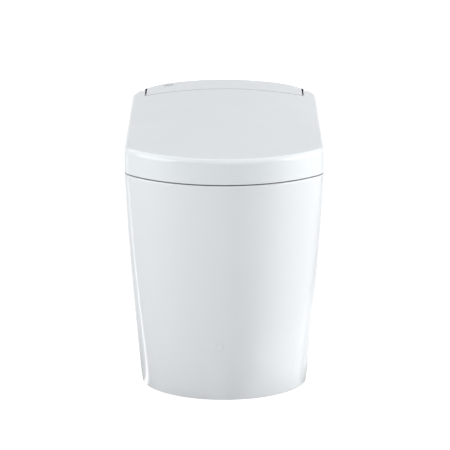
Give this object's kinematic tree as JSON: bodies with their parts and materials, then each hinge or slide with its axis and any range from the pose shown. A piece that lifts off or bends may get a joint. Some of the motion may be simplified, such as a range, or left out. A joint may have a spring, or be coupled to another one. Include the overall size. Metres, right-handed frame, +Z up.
{
  "type": "smart toilet",
  "caption": "Skirted ceramic smart toilet with a crowned lid, heated seat, sliding wash nozzle, warm air dryer, pump flush and a rear housing with a flush button.",
  "frame": {"origin": "on the floor under the middle of the overall box, lid closed", "axes": "+Z up, +Y towards the wall behind the toilet, so the front faces -Y, +X to the right of a person who faces the front"},
  "size_m": [0.38, 0.68, 0.4888],
  "materials": {
    "ceramic": "gloss",
    "lid_plastic": "gloss",
    "seat_plastic": "gloss",
    "inner_plastic": "matte",
    "dark_plastic": "matte",
    "board": "satin",
    "rubber": "matte",
    "black_rubber": "matte",
    "steel": "brushed",
    "chrome": "polished",
    "brass": "satin",
    "foil": "satin",
    "sensor": "satin",
    "hose": "matte"
  },
  "bodies": {
    "base": {"ceramic_body": "ceramic", "outlet_connector": "black_rubber", "floor_brackets": "steel", "bracket_bolts": "steel", "bolt_caps": "lid_plastic", "foot_sensor": "sensor", "chassis_plate": "inner_plastic", "plate_bolts": "steel", "housing_screws": "steel", "rear_housing": "lid_plastic", "button_bezel": "chrome", "flush_switch": "dark_plastic", "hinge_shafts": "steel", "hinge_brackets": "steel", "seat_damper": "dark_plastic", "lid_damper": "dark_plastic", "nozzle_guide": "inner_plastic", "nozzle_motor": "dark_plastic", "blower_case": "dark_plastic", "dryer_duct": "dark_plastic", "dryer_heater": "foil", "deodoriser_case": "inner_plastic", "filter_cassette": "dark_plastic", "flush_tank": "inner_plastic", "tank_cover": "inner_plastic", "flush_pump": "dark_plastic", "pump_bracket": "steel", "jet_hose": "hose", "inlet_valve": "inner_plastic", "water_inlet": "brass", "inlet_filter": "steel", "supply_hose": "hose", "instant_heater": "inner_plastic", "wash_hose": "hose", "control_case": "inner_plastic", "control_board": "board", "power_module": "dark_plastic", "cord_gland": "dark_plastic"},
    "seat": {"seat_top": "seat_plastic", "seat_base": "seat_plastic", "seat_heater": "foil", "seat_buffers": "rubber", "seat_bushes": "inner_plastic"},
    "lid": {"lid_shell": "lid_plastic", "lid_liner": "inner_plastic", "lid_buffers": "rubber", "lid_bushes": "inner_plastic"},
    "nozzle": {"nozzle_wand": "inner_plastic", "nozzle_head": "chrome"},
    "pinion": {"nozzle_pinion": "dark_plastic"},
    "button": {"flush_button": "lid_plastic"},
    "blower": {"blower_wheel": "inner_plastic"},
    "flap": {"dryer_flap": "inner_plastic"},
    "deodoriser": {"deodoriser_fan": "dark_plastic"}
  },
  "joints": [
    {"name": "seat_hinge", "type": "hinge", "parent": "base", "child": "seat", "pos_m": [0, 0.278, 0.456], "axis": [-1, 0, 0], "range_deg": [0, 90]},
    {"name": "lid_hinge", "type": "hinge", "parent": "seat", "child": "lid", "pos_m": [0, 0.278, 0.456], "axis": [1, 0, 0], "range_deg": [-95, 0]},
    {"name": "nozzle_slide", "type": "slide", "parent": "base", "child": "nozzle", "axis": [0, -0.9272, -0.3746], "range_m": [0, 0.095]},
    {"name": "pinion_spin", "type": "hinge", "parent": "base", "child": "pinion", "pos_m": [-0.018, 0.17428, 0.40442], "axis": [1, 0, 0], "range_deg": [0, 626]},
    {"name": "flush_button_press", "type": "slide", "parent": "base", "child": "button", "axis": [0, 0, -1], "range_m": [0, 0.0015], "stiffness_N_per_m": 600, "springref_m": -0.0015},
    {"name": "blower_spin", "type": "hinge", "parent": "base", "child": "blower", "pos_m": [0.064, 0.213, 0.434], "axis": [0, 0, 1], "continuous": true},
    {"name": "dryer_flap_hinge", "type": "hinge", "parent": "base", "child": "flap", "pos_m": [0.044, 0.1247, 0.4094], "axis": [-1, 0, 0], "range_deg": [0, 45]},
    {"name": "deodoriser_spin", "type": "hinge", "parent": "base", "child": "deodoriser", "pos_m": [-0.115, 0.211, 0.4332], "axis": [0, 0, 1], "continuous": true}
  ],
  "couplings": [
    {"joint": "pinion_spin", "follows": "nozzle_slide", "rad_per_m": 114.29}
  ]
}
